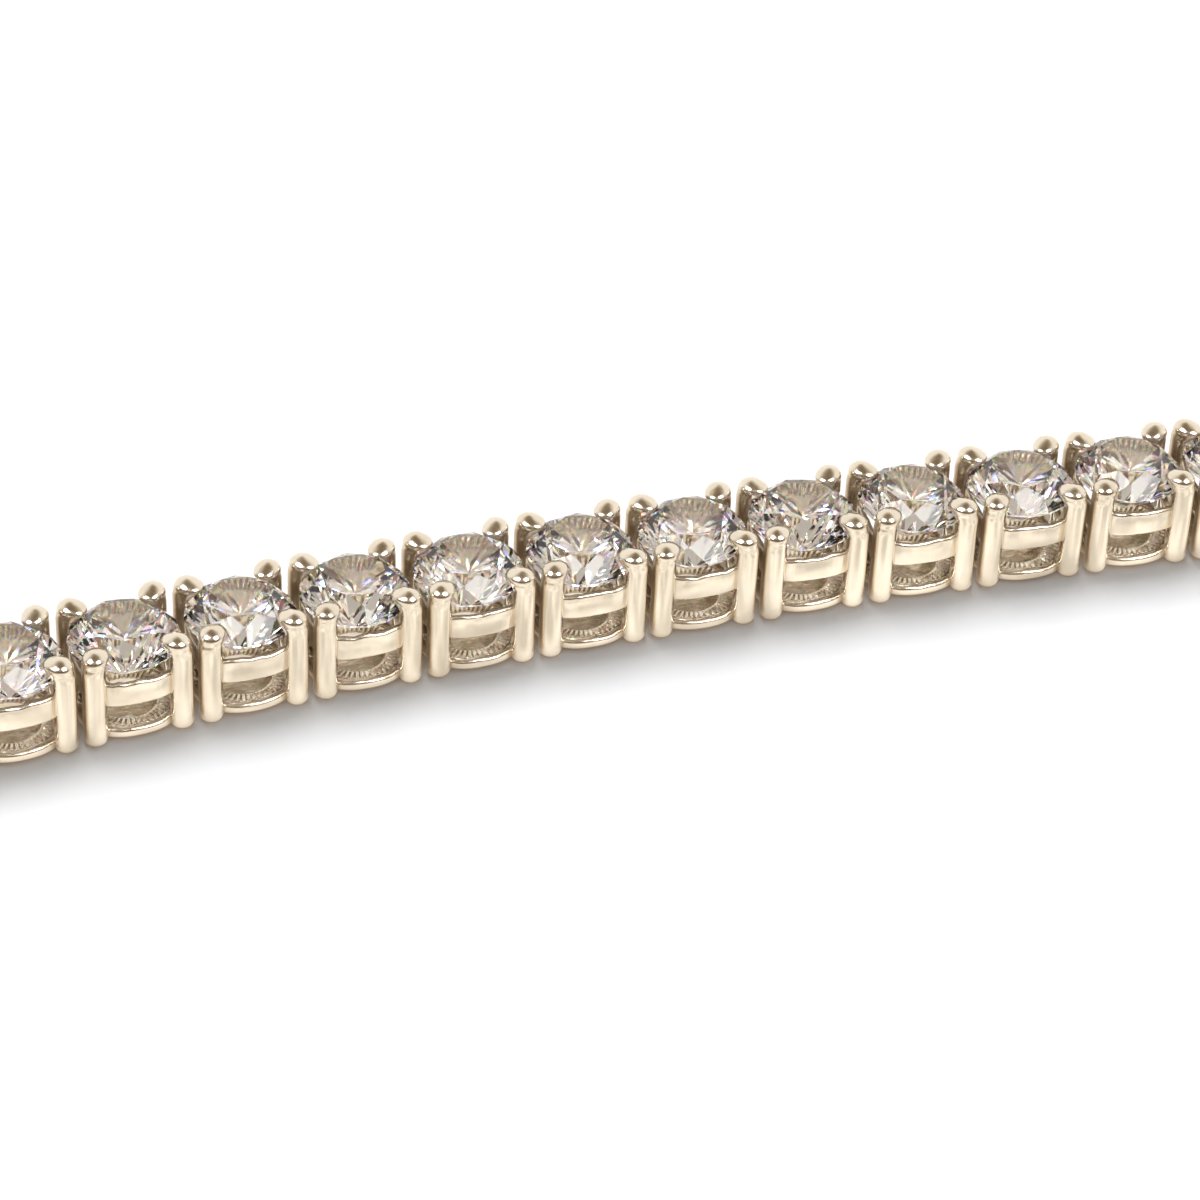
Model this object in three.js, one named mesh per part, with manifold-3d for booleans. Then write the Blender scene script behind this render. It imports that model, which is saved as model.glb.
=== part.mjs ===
// A tennis bracelet: forty round brilliant stones, each in a silver setting of four posts, hinged
// in one closed line with a plain box clasp. It lies on a surface with its stones up.
// On the near-straight stretch each setting is a solid of its own, and its eye goes round a bar in
// the next one. The way round to the clasp is two lengths of chain, each one solid.
// Millimetres, +Z up, origin on the surface under the middle of the whole loop. In a link's own
// frame +X points to the next link and the stone's axis is Z.
import * as THREE from "three";
import { ConvexGeometry } from "three/addons/geometries/ConvexGeometry.js";
import { mergeVertices } from "three/addons/utils/BufferGeometryUtils.js";
import Module from "manifold-3d";

// Stone: a round brilliant cut
const stoneDiameter = 4.0;
const tableDiameter = 2.4;
const girdleHeight = 3.2; // above the surface
const crownHeight = 0.7;
const pavilionDepth = 1.72;
const girdleSides = 16;
const tableSides = 8;
const stoneClearance = 0.03; // between the girdle and each post

// Setting: four posts, a gallery wall under the stone and a base wall near the feet
const postDiameter = 0.84;
const postSides = 8;
const postHeight = 4.17;
const postTipHeight = 0.3;
const wallThickness = 0.3;
const galleryBottom = 1.61;
const galleryHeight = 1.04;
const baseHeight = 0.4;
const footHeight = 0.12; // the posts stand this far below the base wall

// Hinge between two links
const linkGap = 0.33; // between the posts of neighbours on a straight stretch
const leastPostGap = 0.1; // between them on the inside of a bend
const barDiameter = 0.3;
const barSides = 5;
const hingeClearance = 0.09; // between the bar and the hole
const hingePlay = 0.7; // how far the bar can slide along the hole
const eyeWall = 0.18;
const eyeThickness = 0.6;

// Clasp: a plain box with a pocket for the last eye at one end and an eye at the other
const claspLength = 9.0;
const claspHeight = 3.4;
const claspEdge = 0.5; // bevel along its four long edges
const claspPocketDepth = 1.9;
const claspPocketWidth = 1.8;

const linkCount = 40;
const firstHinged = 12; // the links from here to lastHinged are solids of their own
const lastHinged = 26;

// The loop as it lies, seen from above: a long gentle arc on the far side, and the plain way round
// from its right end to its left one with the clasp midway. A smooth curve follows these corners.
// Only its shape counts, because it is scaled to the chain's own length.
const gentleArc = { radius: 324, from: -32, to: 30, corners: 13 };
const wayRound = [
  { x: 36.5, y: -6.9 },
  { x: 37.6, y: -17.0 },
  { x: 31.1, y: -25.3 },
  { x: 23.3, y: -31.0 },
  { x: 17.4, y: -38.4 },
  { x: 8.8, y: -43.8 },
  { x: -2.2, y: -41.0 },
  { x: -11.6, y: -37.8 },
  { x: -20.9, y: -35.3 },
  { x: -30.5, y: -32.7 },
  { x: -36.4, y: -26.2 },
  { x: -39.8, y: -17.0 },
  { x: -38.4, y: -7.0 },
];
const claspCorner = 7; // its place in wayRound, counted from 0

const silver = new THREE.MeshStandardMaterial({ color: 0xe3dccf, roughness: 0.16, metalness: 1 });
const crystal = new THREE.MeshStandardMaterial({ color: 0xeef2f6, roughness: 0.03, metalness: 0 });

// What follows from the sizes above
const flatShare = (sides) => Math.cos(Math.PI / sides); // of a corner's radius
const stoneRadius = stoneDiameter / 2;
const postRadius = postDiameter / 2;
const postFlat = postRadius * flatShare(postSides); // from a post's axis to its flats
const postDistance = stoneRadius * flatShare(girdleSides) + stoneClearance + postFlat;
const postReach = postDistance * Math.SQRT1_2; // along the chain and across it
const linkHalf = postReach + postFlat;
const straightPitch = 2 * linkHalf + linkGap;
const baseTop = footHeight + baseHeight;
const barHeight = (baseTop + galleryBottom) / 2; // midway up the window
const barRadius = barDiameter / 2;
const holeHalfHeight = barRadius + hingeClearance;
const eyeHalfHeight = holeHalfHeight + eyeWall;
const claspHalf = claspLength / 2;

const wasm = await Module();
wasm.setup();

// A closed three.js geometry as a manifold solid.
function solid(geometry) {
  const bare = new THREE.BufferGeometry().setAttribute("position", geometry.getAttribute("position"));
  if (geometry.index) bare.setIndex(geometry.index);
  const merged = mergeVertices(bare, 1e-4);
  return new wasm.Manifold(
    new wasm.Mesh({
      numProp: 3,
      vertProperties: merged.attributes.position.array,
      triVerts: new Uint32Array(merged.index.array),
    }),
  );
}

// A manifold solid as a flat-shaded three.js geometry.
function geometryOf(body) {
  const mesh = body.getMesh();
  const indexed = new THREE.BufferGeometry()
    .setAttribute("position", new THREE.BufferAttribute(mesh.vertProperties, mesh.numProp))
    .setIndex(new THREE.BufferAttribute(mesh.triVerts, 1));
  const flat = indexed.toNonIndexed();
  flat.computeVertexNormals();
  return flat;
}

const join = (bodies) => bodies.reduce((whole, body) => whole.add(body));

// A box from its two opposite corners.
function block(from, to) {
  const size = to.map((end, axis) => end - from[axis]);
  const middle = to.map((end, axis) => (end + from[axis]) / 2);
  return new THREE.BoxGeometry(...size).translate(...middle);
}

function polygonRing(radius, sides, height) {
  return Array.from({ length: sides }, (_, i) => {
    const angle = ((i + 0.5) / sides) * 2 * Math.PI;
    return new THREE.Vector3(radius * Math.cos(angle), radius * Math.sin(angle), height);
  });
}

// The hull of the cut's corner points gives its table, crown and pavilion facets.
function brilliant() {
  return new ConvexGeometry([
    ...polygonRing(tableDiameter / 2, tableSides, girdleHeight + crownHeight),
    ...polygonRing(stoneRadius, girdleSides, girdleHeight),
    new THREE.Vector3(0, 0, girdleHeight - pavilionDepth),
  ]);
}

// A post with a pointed-over tip, turned so that its flats face along and across the chain.
function post(along, across) {
  const profile = [
    new THREE.Vector2(0, 0),
    new THREE.Vector2(postRadius, 0),
    new THREE.Vector2(postRadius, postHeight - postTipHeight),
    new THREE.Vector2(0, postHeight),
  ];
  return new THREE.LatheGeometry(profile, postSides, Math.PI / postSides)
    .rotateX(Math.PI / 2)
    .translate(along * postReach, across * postReach, 0);
}

// Four straight walls from post to post.
function walls(bottom, height) {
  const top = bottom + height;
  const inner = postReach - wallThickness / 2;
  const outer = postReach + wallThickness / 2;
  return [
    block([-postReach, inner, bottom], [postReach, outer, top]),
    block([-postReach, -outer, bottom], [postReach, -inner, top]),
    block([inner, -postReach, bottom], [outer, postReach, top]),
    block([-outer, -postReach, bottom], [-inner, postReach, top]),
  ];
}

// A plate that stands along the chain: a root between the two end walls, then the eye itself.
function eye() {
  const rootStart = postReach - wallThickness / 2;
  const rootEnd = postReach + wallThickness / 2;
  const holeStart = straightPitch - postReach - holeHalfHeight;
  const holeEnd = holeStart + 2 * holeHalfHeight + hingePlay;
  const tip = holeEnd + eyeWall;
  const outline = new THREE.Shape([
    new THREE.Vector2(rootStart, baseTop - baseHeight / 2),
    new THREE.Vector2(rootEnd, barHeight - eyeHalfHeight),
    new THREE.Vector2(tip - eyeHalfHeight / 2, barHeight - eyeHalfHeight),
    new THREE.Vector2(tip, barHeight),
    new THREE.Vector2(tip - eyeHalfHeight / 2, barHeight + eyeHalfHeight),
    new THREE.Vector2(rootEnd, barHeight + eyeHalfHeight),
    new THREE.Vector2(rootStart, galleryBottom + wallThickness / 2),
  ]);
  const hole = [
    new THREE.Vector2(holeStart, barHeight - holeHalfHeight),
    new THREE.Vector2(holeStart, barHeight + holeHalfHeight),
    new THREE.Vector2(holeEnd, barHeight + holeHalfHeight),
    new THREE.Vector2(holeEnd, barHeight - holeHalfHeight),
  ];
  outline.holes.push(new THREE.Path(hole));
  return new THREE.ExtrudeGeometry(outline, { depth: eyeThickness, bevelEnabled: false })
    .rotateX(Math.PI / 2)
    .translate(0, eyeThickness / 2, 0);
}

function hingeBar(length, x) {
  return new THREE.CylinderGeometry(barRadius, barRadius, length, barSides).translate(x, 0, barHeight);
}

function setting({ hasBar, hasEye }) {
  const corners = [
    [1, 1],
    [1, -1],
    [-1, 1],
    [-1, -1],
  ];
  const pieces = [
    ...corners.map(([along, across]) => post(along, across)),
    ...walls(galleryBottom, galleryHeight),
    ...walls(footHeight, baseHeight),
  ];
  if (hasBar) pieces.push(hingeBar(2 * postReach, -postReach));
  if (hasEye) pieces.push(eye());
  return join(pieces.map(solid));
}

// The clasp is as wide as a link, and its ends meet the links as another link's would.
function clasp() {
  const inset = linkHalf - claspEdge;
  const section = new THREE.Shape([
    new THREE.Vector2(-inset, 0),
    new THREE.Vector2(inset, 0),
    new THREE.Vector2(linkHalf, claspEdge),
    new THREE.Vector2(linkHalf, claspHeight - claspEdge),
    new THREE.Vector2(inset, claspHeight),
    new THREE.Vector2(-inset, claspHeight),
    new THREE.Vector2(-linkHalf, claspHeight - claspEdge),
    new THREE.Vector2(-linkHalf, claspEdge),
  ]);
  const body = new THREE.ExtrudeGeometry(section, { depth: claspLength, bevelEnabled: false })
    .rotateX(Math.PI / 2)
    .rotateZ(Math.PI / 2)
    .translate(-claspHalf, 0, 0);
  const pocket = block(
    [-claspHalf - linkGap, -claspPocketWidth / 2, baseTop],
    [-claspHalf + claspPocketDepth, claspPocketWidth / 2, galleryBottom],
  );
  const bar = hingeBar(claspPocketWidth + 2 * hingeClearance, -claspHalf + postFlat);
  return solid(body)
    .subtract(solid(pocket))
    .add(solid(bar))
    .add(solid(eye().translate(claspHalf - linkHalf, 0, 0)));
}

// A closed cubic B-spline round the corners, so that its bend changes gradually.
class LoopCurve extends THREE.Curve {
  constructor(corners) {
    super();
    this.corners = corners;
    this.arcLengthDivisions = 2000;
  }

  getPoint(share, target = new THREE.Vector3()) {
    const count = this.corners.length;
    const along = share * count;
    const first = Math.floor(along);
    const t = along - first;
    const weights = [
      (1 - t) ** 3,
      3 * t ** 3 - 6 * t ** 2 + 4,
      -3 * t ** 3 + 3 * t ** 2 + 3 * t + 1,
      t ** 3,
    ];
    target.set(0, 0, 0);
    weights.forEach((weight, i) => {
      const corner = this.corners[(first + i - 1 + count) % count];
      target.addScaledVector(corner, weight / 6);
    });
    return target;
  }
}

const arc = Array.from({ length: gentleArc.corners }, (_, i) => {
  const x = THREE.MathUtils.lerp(gentleArc.from, gentleArc.to, i / (gentleArc.corners - 1));
  return { x, y: -(x ** 2) / (2 * gentleArc.radius) };
});
const route = [...wayRound.slice(claspCorner), ...arc, ...wayRound.slice(0, claspCorner)];
const curve = new LoopCurve(route.map(({ x, y }) => new THREE.Vector3(x, y, 0)));
const claspStep = claspHalf + linkGap + linkHalf;

// The middle and the heading of a piece that far along the scaled route.
function placeAt(distance, scale) {
  const share = (distance / (curve.getLength() * scale)) % 1;
  const { x, y } = curve.getPointAt(share).multiplyScalar(scale);
  const tangent = curve.getTangentAt(share);
  return { x, y, heading: Math.atan2(tangent.y, tangent.x) };
}

function turnBetween(one, other) {
  const turn = other.heading - one.heading;
  return Math.abs(Math.atan2(Math.sin(turn), Math.cos(turn)));
}

// How far apart two links' middles lie, so that their posts stay clear where the chain bends.
function pitchAt(turn) {
  const spread = Math.cos(turn / 2) + Math.sin(turn / 2);
  return Math.max(straightPitch, 2 * postReach * spread + postDiameter + leastPostGap);
}

// One link after another along the route, and the length that they and the clasp take up.
function layLinks(scale) {
  const places = [];
  let distance = claspStep;
  for (let i = 0; i < linkCount; i += 1) {
    const place = placeAt(distance, scale);
    places.push(place);
    if (i === linkCount - 1) break;
    let step = straightPitch;
    for (let pass = 0; pass < 4; pass += 1) {
      const turn = turnBetween(place, placeAt(distance + step, scale));
      const arcPerChord = turn > 0 ? turn / 2 / Math.sin(turn / 2) : 1;
      step = pitchAt(turn) * arcPerChord;
    }
    distance += step;
  }
  return { places, length: distance + claspStep };
}

let scale = 1;
for (let pass = 0; pass < 20; pass += 1) scale = layLinks(scale).length / curve.getLength();
const { places } = layLinks(scale);

const matrixOf = ({ x, y, heading }) =>
  new THREE.Matrix4().makeRotationZ(heading).setPosition(x, y, 0);

const placed = (body, place) => body.transform(matrixOf(place).elements);

// A strut between the base walls of two neighbours.
function strut(from, to) {
  const start = new THREE.Vector3(postReach, 0, 0).applyMatrix4(matrixOf(from));
  const end = new THREE.Vector3(-postReach, 0, 0).applyMatrix4(matrixOf(to));
  const half = start.distanceTo(end) / 2;
  const between = start.clone().lerp(end, 0.5);
  const heading = Math.atan2(end.y - start.y, end.x - start.x);
  const bar = block([-half, -eyeThickness / 2, footHeight], [half, eyeThickness / 2, baseTop]);
  return placed(solid(bar), { x: between.x, y: between.y, heading });
}

// A length of chain as one solid, hinged only at its two ends.
function chainLength(first, last) {
  const run = places.slice(first - 1, last);
  const links = run.map((place, i) =>
    placed(setting({ hasBar: i === 0, hasEye: i === run.length - 1 }), place),
  );
  const struts = run.slice(1).map((place, i) => strut(run[i], place));
  return join([...links, ...struts]);
}

const loop = new THREE.Group();

function add(name, body, material, place) {
  const mesh = new THREE.Mesh(geometryOf(body), material);
  mesh.name = name;
  if (place) {
    mesh.position.set(place.x, place.y, 0);
    mesh.rotation.z = place.heading;
  }
  loop.add(mesh);
}

const numbered = (name, number) => `${name}_${String(number).padStart(2, "0")}`;

add("clasp", clasp(), silver, placeAt(0, scale));
add("setting_chain_left", chainLength(1, firstHinged - 1), silver);
for (let link = firstHinged; link <= lastHinged; link += 1) {
  const hinged = setting({ hasBar: true, hasEye: true });
  add(numbered("setting", link), hinged, silver, places[link - 1]);
}
add("setting_chain_right", chainLength(lastHinged + 1, linkCount), silver);
places.forEach((place, i) => add(numbered("stone", i + 1), solid(brilliant()), crystal, place));

const middle = new THREE.Box3().setFromObject(loop).getCenter(new THREE.Vector3());
loop.position.set(-middle.x, -middle.y, 0);

const group = new THREE.Group();
group.name = "tennis_bracelet";
group.add(loop);
export default group;
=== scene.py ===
import math
import random

import bpy
from mathutils import Matrix, Vector, noise


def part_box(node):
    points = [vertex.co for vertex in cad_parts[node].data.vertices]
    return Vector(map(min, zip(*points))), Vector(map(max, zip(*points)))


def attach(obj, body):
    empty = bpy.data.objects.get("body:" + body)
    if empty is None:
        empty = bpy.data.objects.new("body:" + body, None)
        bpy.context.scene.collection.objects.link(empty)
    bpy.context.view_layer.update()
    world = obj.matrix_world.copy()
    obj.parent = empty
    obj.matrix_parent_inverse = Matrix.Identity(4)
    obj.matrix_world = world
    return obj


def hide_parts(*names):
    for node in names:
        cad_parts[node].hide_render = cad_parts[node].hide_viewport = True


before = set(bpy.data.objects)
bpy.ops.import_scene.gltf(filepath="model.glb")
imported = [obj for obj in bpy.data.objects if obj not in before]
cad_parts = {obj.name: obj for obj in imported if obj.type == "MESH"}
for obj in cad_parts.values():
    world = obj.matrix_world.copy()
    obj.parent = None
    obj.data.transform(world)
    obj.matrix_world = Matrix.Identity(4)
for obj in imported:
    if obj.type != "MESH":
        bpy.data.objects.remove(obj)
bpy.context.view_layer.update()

MM = 0.001

# Sizes in millimetres. Most are those of the part's source; the stone is fuller, as in the photo, and
# the posts and rings are round. In a link's own frame +X points to the next link, and Z is the
# stone's axis.
STONE_RADIUS = 2.11
TABLE_RADIUS = 1.26
GIRDLE_HEIGHT = 3.30
GIRDLE_THICKNESS = 0.07
CROWN_HEIGHT = 0.77
PAVILION_DEPTH = 1.75
STAR_RADIUS = 1.65  # where the star and upper girdle facets meet
LOWER_RADIUS = 0.46  # where the lower girdle facets end near the culet
POST_RADIUS = 0.455
POST_HEIGHT = 4.17
POST_REACH = 1.68263
POST_FLAT = 0.38804
POST_INSET = 0.02  # how far a post's axis stands from its corner, away from the next link
POST_LEAN = 0.10  # how far a tip leans over the stone
POST_LEAN_SPREAD = 0.03
POST_SINK = 0.035  # how much lower the lowest tips are
CLAW_BULGE = 0.42  # how much wider a tip is toward the stone
STONE_CLEARANCE = 0.012
STONE_TILT = 0.03
LINK_HALF = 2.0707
PITCH = 4.47132
BAND_BOTTOM = 1.61
BAND_TOP = 2.65
BAND_RADIUS = 1.98
BAND_THICKNESS = 0.34
BASE_BOTTOM = 0.12
BASE_TOP = 0.52
BASE_RADIUS = 2.03
BASE_THICKNESS = 0.36
LIP_STEPS = 96  # a rib on every other one
RIB_HEIGHT = 0.07
BAND_SQUARENESS = 3.0  # 2 is a circle, and more is nearer to a square
BASE_SQUARENESS = 2.35
BAND_UNEVEN = 0.09
BASE_UNEVEN = 0.04
LINK_WOBBLE = 0.012  # how uneven the cast surfaces are
CLASP_WOBBLE = 0.006
BAR_HEIGHT = 1.065
BAR_RADIUS = 0.15
HOLE_HALF_HEIGHT = 0.24
HINGE_PLAY = 0.7
EYE_WALL = 0.18
EYE_THICKNESS = 0.6
CLASP_HALF = 4.5
CLASP_HEIGHT = 3.4
CLASP_POCKET_DEPTH = 1.9
CLASP_POCKET_HALF = 0.9
CLASP_FILLET = 0.5
CLASP_GROOVE_DEPTH = 0.08
# across a groove: how far from its middle, and the share of its depth
GROOVE_PROFILE = ((-0.09, 0.0), (-0.05, 0.375), (-0.02, 1.0), (0.02, 1.0), (0.05, 0.375), (0.09, 0.0))
LINK_COUNT = 40
FIRST_HINGED = 12
LAST_HINGED = 26

POST_SEED = 100
STONE_SEED = 11
WOBBLE_SEED = 7
POST_SEGMENTS = 24
RING_SEGMENTS = 64

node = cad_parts


# The photograph's camera, as fitted to the links: a long lens, close to the bracelet.
CAMERA_AZIMUTH = math.radians(-19.481)
CAMERA_ELEVATION = math.radians(38.143)
CAMERA_ROLL = math.radians(2.742)
CAMERA_DISTANCE = 174.13
CAMERA_TARGET = Vector((0.742, 22.240, 0.0))
CAMERA_LENS = 135.0
CAMERA_SENSOR = 36.0


def make_camera():
    forward = Vector((
        -math.sin(CAMERA_AZIMUTH) * math.cos(CAMERA_ELEVATION),
        math.cos(CAMERA_AZIMUTH) * math.cos(CAMERA_ELEVATION),
        -math.sin(CAMERA_ELEVATION),
    ))
    level = Vector((math.cos(CAMERA_AZIMUTH), math.sin(CAMERA_AZIMUTH), 0.0))
    upward = level.cross(forward)
    right = level * math.cos(CAMERA_ROLL) + upward * math.sin(CAMERA_ROLL)
    up = upward * math.cos(CAMERA_ROLL) - level * math.sin(CAMERA_ROLL)
    data = bpy.data.cameras.new("camera")
    data.lens = CAMERA_LENS
    data.sensor_width = CAMERA_SENSOR
    data.clip_start = 0.005
    data.clip_end = 20.0
    camera = bpy.data.objects.new("camera", data)
    bpy.context.scene.collection.objects.link(camera)
    turn = Matrix((right, up, -forward)).transposed().to_4x4()
    camera.matrix_world = Matrix.Translation((CAMERA_TARGET - forward * CAMERA_DISTANCE) * MM) @ turn
    bpy.context.scene.camera = camera


make_camera()


# Shapes are lists of vertices in millimetres and of faces, in a link's own frame.
class Shape:
    def __init__(self):
        self.verts = []
        self.faces = []
        self.sharp = []

    def add(self, other, matrix=None):
        start = len(self.verts)
        self.verts += [matrix @ v if matrix else v.copy() for v in other.verts]
        self.faces += [[start + i for i in face] for face in other.faces]
        self.sharp += other.sharp

    def grid(self, rows, closed_rows, smooth=True):
        """Quads between rows of the same length. Each row is a closed loop."""
        start = len(self.verts)
        width = len(rows[0])
        for row in rows:
            self.verts += [Vector(v) for v in row]
        steps = len(rows) if closed_rows else len(rows) - 1
        for i in range(steps):
            one = start + i * width
            two = start + ((i + 1) % len(rows)) * width
            for j in range(width):
                k = (j + 1) % width
                self.faces.append([one + j, one + k, two + k, two + j])
                self.sharp.append(not smooth)
        return start

    def cap(self, start, width, center, flip):
        self.verts.append(Vector(center))
        middle = len(self.verts) - 1
        for j in range(width):
            k = (j + 1) % width
            face = [start + j, start + k, middle]
            self.faces.append(face[::-1] if flip else face)
            self.sharp.append(False)


def smoothstep(low, high, x):
    t = min(max((x - low) / (high - low), 0.0), 1.0)
    return t * t * (3 - 2 * t)


def stone_radius_at(z):
    """How far the stone reaches from its axis at that height."""
    if z > GIRDLE_HEIGHT:
        fall = (z - GIRDLE_HEIGHT) / CROWN_HEIGHT
        return STONE_RADIUS - fall * (STONE_RADIUS - TABLE_RADIUS) if fall < 1 else 0.0
    return STONE_RADIUS * max(0.0, 1 - (GIRDLE_HEIGHT - z) / PAVILION_DEPTH)


def post_profile():
    foot = [(0.16, 0.0), (0.27, 0.018), (0.35, 0.06), (0.41, 0.13), (POST_RADIUS, 0.25)]
    shaft = [(POST_RADIUS, z) for z in (0.7, 1.2, 1.7, 2.2, 2.6, 2.85)]
    seat = [(POST_RADIUS, 2.95 + 0.06 * i) for i in range(11)]
    neck = [(0.452, 3.60), (0.450, 3.64), (0.454, 3.68)]
    tip = [(0.466, 3.72), (0.477, 3.765), (0.481, 3.82), (0.474, 3.88)]
    tip += [(0.452, 3.938), (0.415, 3.99), (0.362, 4.037)]
    crown = [(0.30, 4.077), (0.232, 4.110), (0.158, 4.137), (0.084, 4.158)]
    return foot + shaft + seat + neck + tip + crown


def post_shape(along, across, chance):
    """A round claw: rounded foot, and a domed tip that leans over the stone with a seat cut for it."""
    bend = POST_LEAN + chance.uniform(-POST_LEAN_SPREAD, POST_LEAN_SPREAD)
    sink = chance.uniform(0.0, POST_SINK)
    inward = Vector((-along, -across)).normalized()
    axis = Vector((along * (POST_REACH - POST_INSET), across * POST_REACH))
    rows = []
    for radius, z in post_profile():
        lean = bend * smoothstep(3.3, 3.95, z)
        row = []
        for j in range(POST_SEGMENTS):
            angle = 2 * math.pi * j / POST_SEGMENTS
            side = Vector((math.cos(angle), math.sin(angle)))
            facing = max(0.0, side.dot(inward))
            claw = smoothstep(3.38, 3.7, z) * (1 - smoothstep(3.9, 4.17, z))
            reach = radius * (1 + CLAW_BULGE * facing ** 2 * claw)
            at = axis + inward * lean + side * reach
            clear = stone_radius_at(z) + STONE_CLEARANCE
            if at.length < clear:
                at = at.normalized() * clear
            row.append((at.x, at.y, z - sink * smoothstep(3.3, 4.0, z)))
        rows.append(row)
    shape = Shape()
    start = shape.grid(rows, False)
    shape.cap(start, POST_SEGMENTS, (axis.x, axis.y, 0.0), True)
    last = start + (len(rows) - 1) * POST_SEGMENTS
    top = axis + inward * bend
    shape.cap(last, POST_SEGMENTS, (top.x, top.y, POST_HEIGHT - sink), False)
    return shape


def ring_shape(radius, squareness, section, uneven, phase):
    """A rounded ring: its outline is a little squarer than a circle, its section a closed loop of
    (inward, height) points. Its top edge may be uneven, as a cast one is."""
    highest = max(z for _, z in section)
    rows = []
    for i in range(RING_SEGMENTS):
        angle = 2 * math.pi * i / RING_SEGMENTS
        c, s = math.cos(angle), math.sin(angle)
        reach = radius / (abs(c) ** squareness + abs(s) ** squareness) ** (1 / squareness)
        rise = uneven * noise.noise(Vector((4.5 * c, 4.5 * s, phase)))
        dent = uneven * noise.noise(Vector((7.0 * c, 7.0 * s, phase + 9.0)))
        row = []
        for inward, z in section:
            near_top = smoothstep(highest - 0.3, highest, z)
            out = reach - inward - abs(dent) * near_top
            row.append((out * c, out * s, z + rise * near_top))
        rows.append(row)
    shape = Shape()
    shape.grid(rows, True)
    return shape


def rounded_section(inner, outer, bottom, top, fillet, seat=0.0):
    """A rounded rectangle as a loop of points, with a slope cut off its inner top edge."""
    def corner(cx, cz, start):
        return [
            (cx + fillet * math.cos(start + a), cz + fillet * math.sin(start + a))
            for a in (0.0, math.pi / 6, math.pi / 3, math.pi / 2)
        ]
    loop = corner(outer + fillet, bottom + fillet, math.pi)
    loop += corner(inner - fillet, bottom + fillet, 1.5 * math.pi)
    if seat:
        loop += [(inner, top - seat), (inner - 0.02, top - seat * 0.8), (inner - seat * 0.7, top - 0.02)]
    else:
        loop += corner(inner - fillet, top - fillet, 0.0)
    loop += corner(outer + fillet, top - fillet, 0.5 * math.pi)
    return loop


def flange_shape():
    """The thin lip inside the base ring, open in the middle, with fine cast ribs down its slope."""
    rows = []
    for i in range(LIP_STEPS):
        angle = 2 * math.pi * i / LIP_STEPS
        c, s = math.cos(angle), math.sin(angle)
        rib = RIB_HEIGHT if i % 2 else 0.0
        outer = [(1.80, 0.20), (1.80, 0.50)]
        ribbed = [(1.68, 0.48 + rib * 0.6), (1.50, 0.43 + rib), (1.30, 0.38 + rib)]
        inner = [(1.18, 0.35), (0.9, 0.335), (0.55, 0.32), (0.25, 0.31), (0.22, 0.25), (0.25, 0.21)]
        section = outer + ribbed + inner
        rows.append([(reach * c, reach * s, z) for reach, z in section])
    shape = Shape()
    shape.grid(rows, True, smooth=False)
    return shape


def bar_shape(x, half):
    sides = 14
    rows = []
    for y in (-half, half):
        rows.append([
            (x + BAR_RADIUS * math.cos(2 * math.pi * j / sides), y,
             BAR_HEIGHT + BAR_RADIUS * math.sin(2 * math.pi * j / sides))
            for j in range(sides)
        ])
    shape = Shape()
    start = shape.grid(rows, False)
    shape.cap(start, sides, (x, -half, BAR_HEIGHT), False)
    shape.cap(start + sides, sides, (x, half, BAR_HEIGHT), True)
    return shape


def eye_shape():
    """A flat loop that stands along the chain, with a rounded slot for the next link's bar."""
    hole_start = PITCH - POST_REACH - HOLE_HALF_HEIGHT
    hole_end = hole_start + 2 * HOLE_HALF_HEIGHT + HINGE_PLAY
    left = hole_start + HOLE_HALF_HEIGHT
    right = hole_end - HOLE_HALF_HEIGHT
    steps = 10

    def slot(radius):
        loop = []
        for i in range(steps + 1):
            angle = -math.pi / 2 + math.pi * i / steps
            loop.append((right + radius * math.cos(angle), BAR_HEIGHT + radius * math.sin(angle)))
        for i in range(steps + 1):
            angle = math.pi / 2 + math.pi * i / steps
            loop.append((left + radius * math.cos(angle), BAR_HEIGHT + radius * math.sin(angle)))
        return loop

    half = EYE_THICKNESS / 2
    edge = 0.05
    layers = [
        (HOLE_HALF_HEIGHT, -half + edge), (HOLE_HALF_HEIGHT, half - edge),
        (HOLE_HALF_HEIGHT + edge, half), (HOLE_HALF_HEIGHT + EYE_WALL - edge, half),
        (HOLE_HALF_HEIGHT + EYE_WALL, half - edge), (HOLE_HALF_HEIGHT + EYE_WALL, -half + edge),
        (HOLE_HALF_HEIGHT + EYE_WALL - edge, -half), (HOLE_HALF_HEIGHT + edge, -half),
    ]
    shape = Shape()
    shape.grid([[(x, y, z) for x, z in slot(radius)] for radius, y in layers], True)
    # the root between the link's two rings
    stations = [
        (POST_REACH - 0.1, 0.20, 1.90), (POST_REACH + 0.16, 0.42, 1.64),
        (POST_REACH + 0.34, BAR_HEIGHT - 0.43, BAR_HEIGHT + 0.43),
        (left - 0.3, BAR_HEIGHT - 0.42, BAR_HEIGHT + 0.42),
    ]
    rows = []
    for x, low, high in stations:
        rows.append([
            (x, -half + edge, low), (x, half - edge, low), (x, half, low + edge), (x, half, high - edge),
            (x, half - edge, high), (x, -half + edge, high),
            (x, -half, high - edge), (x, -half, low + edge),
        ])
    start = shape.grid(rows, False)
    x, low, high = stations[0]
    shape.cap(start, 8, (x, 0.0, (low + high) / 2), True)
    x, low, high = stations[-1]
    shape.cap(start + 24, 8, (x, 0.0, (low + high) / 2), False)
    return shape


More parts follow.
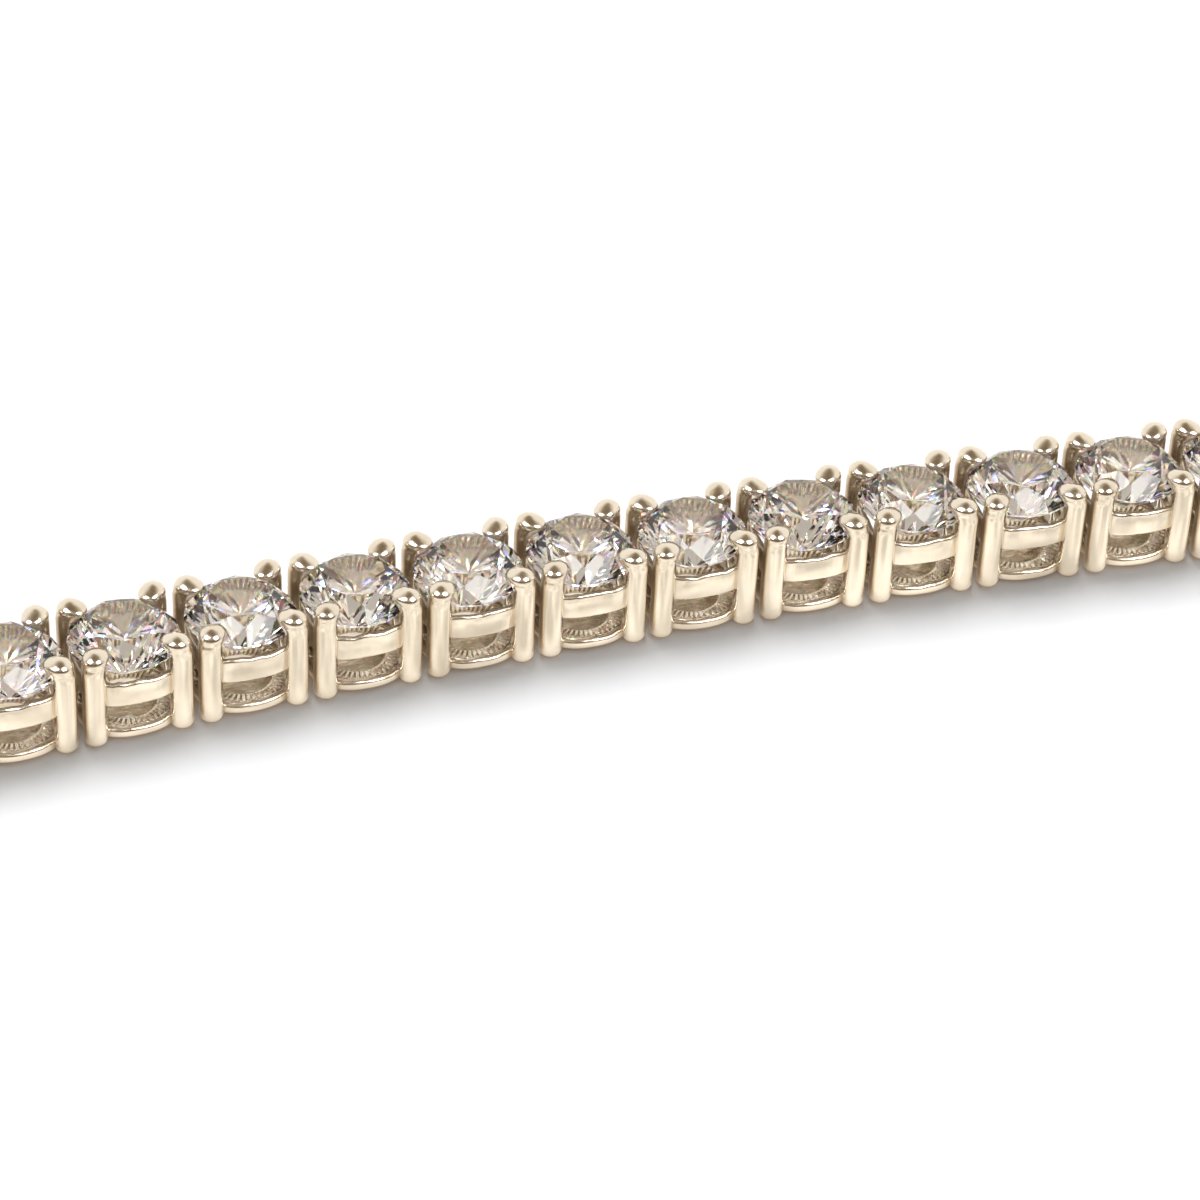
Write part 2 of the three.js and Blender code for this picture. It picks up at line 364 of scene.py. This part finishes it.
def setting_shape(link):
    """One link. No two are quite alike, as in any cast chain."""
    chance = random.Random(POST_SEED + link)
    shape = Shape()
    for along, across in ((1, 1), (1, -1), (-1, 1), (-1, -1)):
        shape.add(post_shape(along, across, chance))
    band = rounded_section(BAND_THICKNESS, 0.0, BAND_BOTTOM, BAND_TOP, 0.12, seat=0.2)
    shape.add(ring_shape(BAND_RADIUS, BAND_SQUARENESS, band, BAND_UNEVEN, 3.7 * link))
    base = rounded_section(BASE_THICKNESS, 0.0, BASE_BOTTOM, BASE_TOP, 0.13)
    shape.add(ring_shape(BASE_RADIUS, BASE_SQUARENESS, base, BASE_UNEVEN, 5.1 * link))
    shape.add(flange_shape())
    shape.add(bar_shape(-POST_REACH, POST_REACH))
    shape.add(eye_shape())
    return shape


def brilliant_shape():
    """A round brilliant: table, 8 stars, 8 kites, 16 upper and 16 lower girdle facets, 8 mains."""
    def polar(radius, turn, z):
        angle = turn * math.pi / 8
        return Vector((radius * math.cos(angle), radius * math.sin(angle), z))

    half = math.cos(math.pi / 8)
    slope = CROWN_HEIGHT / (STONE_RADIUS - TABLE_RADIUS)
    star_z = slope * (STONE_RADIUS - STAR_RADIUS * half)
    lower_z = -PAVILION_DEPTH * (1 - LOWER_RADIUS * half / STONE_RADIUS)
    top = GIRDLE_HEIGHT
    low = GIRDLE_HEIGHT - GIRDLE_THICKNESS
    shape = Shape()
    points = shape.verts
    points += [polar(TABLE_RADIUS, 2 * k, top + CROWN_HEIGHT) for k in range(8)]
    points += [polar(STAR_RADIUS, 2 * k + 1, top + star_z) for k in range(8)]
    points += [polar(STONE_RADIUS, k, top) for k in range(16)]
    points += [polar(STONE_RADIUS, k, low) for k in range(16)]
    points += [polar(LOWER_RADIUS, 2 * k + 1, low + lower_z) for k in range(8)]
    points.append(Vector((0.0, 0.0, low - PAVILION_DEPTH + 0.02)))
    table, star, upper, lower, halves, culet = 0, 8, 16, 32, 48, 56
    faces = [list(range(8))]
    for k in range(8):
        n = (k + 1) % 8
        p = (k - 1) % 8
        g = 2 * k
        faces.append([table + k, star + k, table + n])
        faces.append([table + k, star + p, upper + g, star + k])
        faces.append([star + k, upper + g, upper + g + 1])
        faces.append([star + k, upper + g + 1, upper + (g + 2) % 16])
        faces.append([culet, halves + k, lower + g, halves + p])
        faces.append([halves + k, lower + g + 1, lower + g])
        faces.append([halves + k, lower + (g + 2) % 16, lower + g + 1])
    for g in range(16):
        h = (g + 1) % 16
        faces.append([upper + g, lower + g, lower + h, upper + h])
    shape.faces = faces
    shape.sharp = [True] * len(faces)
    return shape


def clasp_shape():
    """A plain box clasp with rounded edges: grooves near its ends, and a pocket for the last eye."""
    def section(x, half_width, low, high, fillet):
        row = []
        for cy, cz, start in (
            (half_width - fillet, low + fillet, -0.5), (half_width - fillet, high - fillet, 0.0),
            (-half_width + fillet, high - fillet, 0.5), (-half_width + fillet, low + fillet, 1.0),
        ):
            for i in range(7):
                angle = (start + i / 12) * math.pi
                row.append((x, cy + fillet * math.cos(angle), cz + fillet * math.sin(angle)))
        return row

    outer = LINK_HALF
    high = CLASP_HEIGHT
    mouth = (CLASP_POCKET_HALF, BASE_TOP, BAND_BOTTOM)
    rows = [
        section(-CLASP_HALF + CLASP_POCKET_DEPTH, *mouth, 0.12),
        section(-CLASP_HALF + 0.10, *mouth, 0.12),
        section(-CLASP_HALF + 0.02, mouth[0] + 0.07, mouth[1] - 0.07, mouth[2] + 0.07, 0.14),
        section(-CLASP_HALF, mouth[0] + 0.16, mouth[1] - 0.14, mouth[2] + 0.16, 0.16),
    ]
    for depth, fillet_x in ((0.26, 0.0), (0.14, 0.03), (0.05, 0.10), (0.0, 0.24)):
        rows.append(section(-CLASP_HALF + fillet_x, outer - depth, depth * 0.8, high - depth, CLASP_FILLET))
    for groove in (-CLASP_HALF + 0.9, -CLASP_HALF + 1.25, CLASP_HALF - 2.3):
        for step, share in GROOVE_PROFILE:
            depth = CLASP_GROOVE_DEPTH * share
            rows.append(section(groove + step, outer - depth, depth * 0.4, high - depth, CLASP_FILLET))
    for depth, fillet_x in ((0.0, 0.24), (0.05, 0.10), (0.14, 0.03), (0.26, 0.0), (0.9, 0.0)):
        rows.append(section(CLASP_HALF - fillet_x, outer - depth, depth * 0.8, high - depth, CLASP_FILLET))
    shape = Shape()
    start = shape.grid(rows, False)
    width = len(rows[0])
    back = (mouth[1] + mouth[2]) / 2
    shape.cap(start, width, (-CLASP_HALF + CLASP_POCKET_DEPTH, 0.0, back), True)
    shape.cap(start + (len(rows) - 1) * width, width, (CLASP_HALF, 0.0, high / 2), False)
    shape.add(bar_shape(-CLASP_HALF + POST_FLAT, CLASP_POCKET_HALF + 0.09))
    shape.add(eye_shape(), Matrix.Translation((CLASP_HALF - LINK_HALF, 0.0, 0.0)))
    return shape


def piece(name, shape, material, wobble=0.0):
    """A mesh object in metres whose vertices hold its place, with its finish."""
    mesh = bpy.data.meshes.new(name)
    verts = []
    for v in shape.verts:
        if wobble:
            v = v + noise.noise_vector(v * 0.9) * wobble
        verts.append(v * MM)
    mesh.from_pydata(verts, [], shape.faces)
    mesh.validate()
    for polygon, sharp in zip(mesh.polygons, shape.sharp):
        polygon.use_smooth = not sharp
    mesh.materials.append(material)
    mesh.update()
    made = bpy.data.objects.new(name, mesh)
    bpy.context.scene.collection.objects.link(made)
    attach(made, "root")
    return made


# Where each link lies: its middle is its stone's, and its heading comes from the tips of its posts.
def tip_points():
    points = []
    for name, found in node.items():
        if name.startswith("setting"):
            points += [v.co / MM for v in found.data.vertices if v.co.z / MM > POST_HEIGHT - 0.01]
    return points


def link_places():
    tips = tip_points()
    middles = []
    for i in range(1, LINK_COUNT + 1):
        low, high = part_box("stone_%02d" % i)
        middles.append((Vector(low) + Vector(high)) / 2 / MM)
    places = []
    for i, middle in enumerate(middles):
        before = middles[max(i - 1, 0)]
        after = middles[min(i + 1, LINK_COUNT - 1)]
        rough = math.atan2(after.y - before.y, after.x - before.x)
        c = s = 0.0
        for tip in tips:
            arm = tip - middle
            if arm.xy.length < POST_REACH * 1.5:
                angle = math.atan2(arm.y, arm.x) - rough
                c += math.cos(4 * angle)
                s += math.sin(4 * angle)
        heading = rough + math.atan2(-s, -c) / 4
        places.append((middle.x, middle.y, heading))
    return places


def place_matrix(x, y, heading):
    return Matrix.Translation((x, y, 0.0)) @ Matrix.Rotation(heading, 4, "Z")


# Materials
def new_material(name):
    material = bpy.data.materials.new(name)
    material.use_nodes = True
    tree = material.node_tree
    tree.nodes.clear()
    return material, tree


def wire(tree, source, output, target, socket):
    tree.links.new(source.outputs[output], target.inputs[socket])


def noise_node(tree, coordinates, scale, detail, roughness=0.5):
    made = tree.nodes.new("ShaderNodeTexNoise")
    made.inputs["Scale"].default_value = scale
    made.inputs["Detail"].default_value = detail
    made.inputs["Roughness"].default_value = roughness
    wire(tree, coordinates, "Object", made, "Vector")
    return made


def ramp_node(tree, source, output, stops):
    made = tree.nodes.new("ShaderNodeValToRGB")
    elements = made.color_ramp.elements
    while len(elements) < len(stops):
        elements.new(0.5)
    for element, (position, color) in zip(elements, stops):
        element.position = position
        element.color = (*color, 1.0)
    wire(tree, source, output, made, "Fac")
    return made


def multiply_node(tree, first, second):
    made = tree.nodes.new("ShaderNodeMix")
    made.data_type = "RGBA"
    made.blend_type = "MULTIPLY"
    made.inputs[0].default_value = 1.0
    tree.links.new(first.outputs["Color"], made.inputs[6])
    tree.links.new(second.outputs["Color"], made.inputs[7])
    return made


def range_node(tree, source, output, start, end, low, high):
    """Turns source values from start to end into values from low to high."""
    made = tree.nodes.new("ShaderNodeMapRange")
    made.inputs["From Min"].default_value = start
    made.inputs["From Max"].default_value = end
    made.inputs["To Min"].default_value = low
    made.inputs["To Max"].default_value = high
    wire(tree, source, output, made, "Value")
    return made


def silver_material():
    material, tree = new_material("warm_silver")
    coordinates = tree.nodes.new("ShaderNodeTexCoord")
    shader = tree.nodes.new("ShaderNodeBsdfPrincipled")
    shader.inputs["Metallic"].default_value = 1.0
    output = tree.nodes.new("ShaderNodeOutputMaterial")
    tone = noise_node(tree, coordinates, 700.0, 4.0, 0.6)
    colors = ramp_node(tree, tone, "Fac", [
        (0.30, (0.83, 0.745, 0.62)), (0.55, (0.88, 0.80, 0.68)), (0.80, (0.92, 0.855, 0.75)),
    ])
    # Painted shade: the base colour turns darker and browner in recesses and between links, where near
    # surfaces would shade it; the same AO also makes those places rougher.
    recess = tree.nodes.new("ShaderNodeAmbientOcclusion")
    recess.samples = 4
    recess.inputs["Distance"].default_value = 1.0 * MM
    recess_shade = ramp_node(tree, recess, "AO", [(0.10, (0.70, 0.625, 0.555)), (0.75, (1.0, 1.0, 1.0))])
    shaded_colors = multiply_node(tree, colors, recess_shade)
    tree.links.new(shaded_colors.outputs[2], shader.inputs["Base Color"])
    polish = noise_node(tree, coordinates, 2600.0, 5.0, 0.65)
    rough = range_node(tree, polish, "Fac", 0.3, 0.7, 0.10, 0.24)
    matt = range_node(tree, recess, "AO", 0.15, 0.75, 0.42, 0.0)
    finish = tree.nodes.new("ShaderNodeMath")
    finish.operation = "ADD"
    wire(tree, rough, "Result", finish, 0)
    wire(tree, matt, "Result", finish, 1)
    wire(tree, finish, "Value", shader, "Roughness")
    edges = tree.nodes.new("ShaderNodeBevel")
    edges.samples = 4
    edges.inputs["Radius"].default_value = 0.035 * MM
    drawn = tree.nodes.new("ShaderNodeMapping")
    drawn.inputs["Scale"].default_value = (1.0, 1.0, 0.16)
    wire(tree, coordinates, "Object", drawn, "Vector")
    cast = tree.nodes.new("ShaderNodeTexNoise")
    cast.inputs["Scale"].default_value = 1500.0
    cast.inputs["Detail"].default_value = 2.0
    wire(tree, drawn, "Vector", cast, "Vector")
    wave = tree.nodes.new("ShaderNodeBump")
    wave.inputs["Strength"].default_value = 0.4
    wave.inputs["Distance"].default_value = 0.10 * MM
    wire(tree, cast, "Fac", wave, "Height")
    wire(tree, edges, "Normal", wave, "Normal")
    grain = noise_node(tree, coordinates, 9000.0, 3.0, 0.6)
    fine = tree.nodes.new("ShaderNodeBump")
    fine.inputs["Strength"].default_value = 0.15
    fine.inputs["Distance"].default_value = 0.006 * MM
    wire(tree, grain, "Fac", fine, "Height")
    wire(tree, wave, "Normal", fine, "Normal")
    wire(tree, fine, "Normal", shader, "Normal")
    wire(tree, shader, "BSDF", output, "Surface")
    return material


FIRE = 0.3  # the share of the stone's light that is split by colour
COLOR_PATHS = (((0.7, 0.15, 0.15), 1.98), ((0.15, 0.7, 0.15), 2.04), ((0.15, 0.15, 0.7), 2.11))


def crystal_material():
    material, tree = new_material("crystal")
    coordinates = tree.nodes.new("ShaderNodeTexCoord")
    output = tree.nodes.new("ShaderNodeOutputMaterial")
    body = tree.nodes.new("ShaderNodeBsdfPrincipled")
    body.inputs["Transmission Weight"].default_value = 1.0
    body.inputs["IOR"].default_value = 2.02
    body.inputs["Specular Tint"].default_value = (0.45, 0.45, 0.45, 1.0)
    cloud = noise_node(tree, coordinates, 500.0, 3.0, 0.5)
    tint = ramp_node(tree, cloud, "Fac", [(0.35, (0.95, 0.93, 0.90)), (0.7, (1.0, 0.99, 0.97))])
    wire(tree, tint, "Color", body, "Base Color")
    polish = noise_node(tree, coordinates, 3000.0, 2.0, 0.5)
    rough = range_node(tree, polish, "Fac", 0.4, 0.8, 0.0, 0.012)
    wire(tree, rough, "Result", body, "Roughness")
    split = []
    for color, index in COLOR_PATHS:
        glass = tree.nodes.new("ShaderNodeBsdfGlass")
        glass.inputs["Color"].default_value = (*color, 1.0)
        glass.inputs["IOR"].default_value = index
        glass.inputs["Roughness"].default_value = 0.0
        split.append(glass)
    two = tree.nodes.new("ShaderNodeAddShader")
    three = tree.nodes.new("ShaderNodeAddShader")
    tree.links.new(split[0].outputs[0], two.inputs[0])
    tree.links.new(split[1].outputs[0], two.inputs[1])
    tree.links.new(two.outputs[0], three.inputs[0])
    tree.links.new(split[2].outputs[0], three.inputs[1])
    mix = tree.nodes.new("ShaderNodeMixShader")
    mix.inputs[0].default_value = FIRE
    tree.links.new(body.outputs[0], mix.inputs[1])
    tree.links.new(three.outputs[0], mix.inputs[2])
    tree.links.new(mix.outputs[0], output.inputs["Surface"])
    return material


def floor_material():
    material, tree = new_material("pale_floor")
    coordinates = tree.nodes.new("ShaderNodeTexCoord")
    output = tree.nodes.new("ShaderNodeOutputMaterial")
    shader = tree.nodes.new("ShaderNodeBsdfPrincipled")
    shader.inputs["Roughness"].default_value = 0.95
    shader.inputs["Specular IOR Level"].default_value = 0.0
    paper = noise_node(tree, coordinates, 40.0, 2.0)
    tint = ramp_node(tree, paper, "Fac", [(0.3, (0.90, 0.90, 0.90)), (0.7, (0.92, 0.92, 0.92))])
    wire(tree, tint, "Color", shader, "Base Color")
    # Painted glow: brighter and dimmer patches that the floor shows only to the silver, as emission.
    patches = noise_node(tree, coordinates, 260.0, 1.0)
    glow = ramp_node(tree, patches, "Fac", [(0.36, (0.82, 0.775, 0.70)), (0.62, (1.34, 1.28, 1.18))])
    # Painted shade: the floor's mirrored glow is darkened where the bracelet stands close above it.
    under = tree.nodes.new("ShaderNodeAmbientOcclusion")
    under.samples = 4
    under.inputs["Distance"].default_value = 2.5 * MM
    painted_glow_shade = ramp_node(tree, under, "AO", [(0.10, (0.30, 0.26, 0.215)), (0.55, (1.0, 1.0, 1.0))])
    shaded = multiply_node(tree, glow, painted_glow_shade)
    mirror_glow = tree.nodes.new("ShaderNodeEmission")
    tree.links.new(shaded.outputs[2], mirror_glow.inputs["Color"])
    # Painted glow: a dim, even emission that the stones see in place of the floor.
    dim_glow = tree.nodes.new("ShaderNodeEmission")
    dim_glow.inputs["Color"].default_value = (0.52, 0.475, 0.42, 1.0)
    # painted glow: the silver mirrors the floor as a patchy glow, and the stones refract a dim, even glow
    # in its place
    rays = tree.nodes.new("ShaderNodeLightPath")
    mirrored = tree.nodes.new("ShaderNodeMixShader")
    wire(tree, rays, "Is Glossy Ray", mirrored, 0)
    tree.links.new(shader.outputs[0], mirrored.inputs[1])
    tree.links.new(mirror_glow.outputs[0], mirrored.inputs[2])
    refracted = tree.nodes.new("ShaderNodeMixShader")
    wire(tree, rays, "Is Transmission Ray", refracted, 0)
    tree.links.new(mirrored.outputs[0], refracted.inputs[1])
    tree.links.new(dim_glow.outputs[0], refracted.inputs[2])
    tree.links.new(refracted.outputs[0], output.inputs["Surface"])
    return material


silver = silver_material()
crystal = crystal_material()

# The pieces
places = link_places()
random.seed(STONE_SEED)
noise.seed_set(WOBBLE_SEED)
stone_template = brilliant_shape()


def chain_of(links):
    whole = Shape()
    for link in links:
        whole.add(setting_shape(link), place_matrix(*places[link - 1]))
    return whole


left = piece("links_left", chain_of(range(1, FIRST_HINGED)), silver, LINK_WOBBLE)
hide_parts("setting_chain_left")
right = piece("links_right", chain_of(range(LAST_HINGED + 1, LINK_COUNT + 1)), silver, LINK_WOBBLE)
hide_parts("setting_chain_right")
for link in range(FIRST_HINGED, LAST_HINGED + 1):
    made = piece("link_%02d" % link, chain_of([link]), silver, LINK_WOBBLE)
    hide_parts("setting_%02d" % link)

for link in range(1, LINK_COUNT + 1):
    x, y, heading = places[link - 1]
    spin = Matrix.Rotation(random.uniform(0, math.pi / 4), 4, "Z")
    seat = Matrix.Translation((0.0, 0.0, GIRDLE_HEIGHT))
    tilt = Matrix.Rotation(random.uniform(-STONE_TILT, STONE_TILT), 4, "X")
    tilt = tilt @ Matrix.Rotation(random.uniform(-STONE_TILT, STONE_TILT), 4, "Y")
    gem = Shape()
    gem.add(stone_template, place_matrix(x, y, heading) @ seat @ tilt @ seat.inverted() @ spin)
    made = piece("brilliant_%02d" % link, gem, crystal)
    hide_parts("stone_%02d" % link)

first, last = Vector(places[0][:2]), Vector(places[-1][:2])
along = math.atan2(first.y - last.y, first.x - last.x)
clasp_middle = (first + last) / 2
clasp_copy = Shape()
clasp_copy.add(clasp_shape(), place_matrix(clasp_middle.x, clasp_middle.y, along))
clasp = piece("box_clasp", clasp_copy, silver, CLASP_WOBBLE)
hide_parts("clasp")


# Floor, light and surroundings
ROOM_FRONT = (-0.3335, -0.9427, 0.0)
LAMP_DISTANCE = 420.0


def make_floor():
    mesh = bpy.data.meshes.new("floor")
    reach = 3.0
    mesh.from_pydata(
        [(-reach, -reach, 0), (reach, -reach, 0), (reach, reach, 0), (-reach, reach, 0)], [], [(0, 1, 2, 3)]
    )
    mesh.materials.append(floor_material())
    floor = bpy.data.objects.new("floor", mesh)
    bpy.context.scene.collection.objects.link(floor)
    floor.location.z = -0.00002


def softbox(name, azimuth, elevation, distance, width, height, radiance, seen_by, color=(1.0, 1.0, 1.0)):
    """An area light that faces the bracelet. Azimuth is counted from -Y to +X. It lights the floor,
    or what mirrors it, or what refracts it."""
    a, e = math.radians(azimuth), math.radians(elevation)
    toward = Vector((math.sin(a) * math.cos(e), -math.cos(a) * math.cos(e), math.sin(e)))
    data = bpy.data.lights.new(name, "AREA")
    data.shape = "RECTANGLE"
    data.size = width * MM
    data.size_y = height * MM
    data.energy = radiance * math.pi * data.size * data.size_y
    data.color = color
    made = bpy.data.objects.new(name, data)
    bpy.context.scene.collection.objects.link(made)
    aim = Vector((0.0, 20.0, 2.0)) * MM
    made.location = aim + toward * distance * MM
    made.rotation_euler = (-toward).to_track_quat("-Z", "Y").to_euler()
    made.visible_diffuse = "floor" in seen_by
    made.visible_glossy = "mirrors" in seen_by
    made.visible_transmission = "stones" in seen_by
    return made


def make_world():
    """A room that is darker in front of the bracelet than behind it, a patterned one for the stones,
    and a plain fill for the floor."""
    world = bpy.data.worlds.new("room")
    bpy.context.scene.world = world
    world.use_nodes = True
    tree = world.node_tree
    tree.nodes.clear()
    coordinates = tree.nodes.new("ShaderNodeTexCoord")
    split = tree.nodes.new("ShaderNodeSeparateXYZ")
    wire(tree, coordinates, "Generated", split, "Vector")
    behind = ramp_node(tree, split, "Z", [
        (0.0, (1.05, 1.02, 0.96)), (0.70, (0.98, 0.94, 0.87)), (0.83, (0.70, 0.62, 0.52)),
        (0.93, (0.30, 0.24, 0.17)), (1.0, (0.20, 0.15, 0.10)),
    ])
    front = ramp_node(tree, split, "Z", [
        (0.0, (0.22, 0.17, 0.13)), (0.45, (0.14, 0.10, 0.075)),
        (0.70, (0.45, 0.41, 0.36)), (1.0, (0.20, 0.15, 0.10)),
    ])
    side = tree.nodes.new("ShaderNodeVectorMath")
    side.operation = "DOT_PRODUCT"
    side.inputs[1].default_value = ROOM_FRONT
    wire(tree, coordinates, "Generated", side, 0)
    share = range_node(tree, side, "Value", -0.2, 0.35, 0.0, 1.0)
    both = tree.nodes.new("ShaderNodeMix")
    both.data_type = "RGBA"
    tree.links.new(share.outputs["Result"], both.inputs[0])
    tree.links.new(behind.outputs["Color"], both.inputs[6])
    tree.links.new(front.outputs["Color"], both.inputs[7])
    room = tree.nodes.new("ShaderNodeBackground")
    tree.links.new(both.outputs[2], room.inputs["Color"])
    fill = tree.nodes.new("ShaderNodeBackground")
    fill.inputs["Color"].default_value = (0.98, 1.05, 1.15, 1.0)
    fill.inputs["Strength"].default_value = 0.31
    rays = tree.nodes.new("ShaderNodeLightPath")
    cloud = tree.nodes.new("ShaderNodeTexNoise")
    cloud.inputs["Scale"].default_value = 3.8
    cloud.inputs["Detail"].default_value = 1.0
    wire(tree, coordinates, "Generated", cloud, "Vector")
    windows = ramp_node(tree, cloud, "Fac", [
        (0.30, (0.34, 0.29, 0.245)), (0.47, (0.56, 0.49, 0.42)),
        (0.56, (0.72, 0.65, 0.57)), (0.70, (1.2, 1.15, 1.08)),
    ])
    around = tree.nodes.new("ShaderNodeBackground")
    wire(tree, windows, "Color", around, "Color")
    gems = tree.nodes.new("ShaderNodeMixShader")
    wire(tree, rays, "Is Transmission Ray", gems, 0)
    tree.links.new(room.outputs[0], gems.inputs[1])
    tree.links.new(around.outputs[0], gems.inputs[2])
    mix = tree.nodes.new("ShaderNodeMixShader")
    wire(tree, rays, "Is Diffuse Ray", mix, 0)
    tree.links.new(gems.outputs[0], mix.inputs[1])
    tree.links.new(fill.outputs[0], mix.inputs[2])
    output = tree.nodes.new("ShaderNodeOutputWorld")
    tree.links.new(mix.outputs[0], output.inputs["Surface"])


make_floor()
make_world()
softbox("key", 172.0, 66.0, 700.0, 900.0, 460.0, 4.6, ("floor",))
softbox("front_left", -72.0, 48.0, LAMP_DISTANCE, 215.0, 260.0, 5.0, ("mirrors",))
softbox("front_right", 33.0, 48.0, LAMP_DISTANCE, 215.0, 260.0, 5.0, ("mirrors",))
# small lamps that only the stones show, two of them coloured
softbox("spark_left", -75.0, 52.0, LAMP_DISTANCE, 60.0, 60.0, 7.0, ("stones",))
softbox("spark_right", 40.0, 58.0, LAMP_DISTANCE, 60.0, 60.0, 7.0, ("stones",))
softbox("spark_back", 150.0, 50.0, LAMP_DISTANCE, 70.0, 70.0, 6.0, ("stones",))
softbox("spark_cool", -30.0, 70.0, LAMP_DISTANCE, 62.0, 62.0, 8.0, ("stones",), (0.25, 0.42, 1.0))
softbox("spark_warm", 95.0, 62.0, LAMP_DISTANCE, 26.0, 26.0, 20.0, ("stones",), (1.0, 0.50, 0.18))

bpy.context.scene.view_settings.view_transform = "Standard"
bpy.context.scene.view_settings.look = "None"
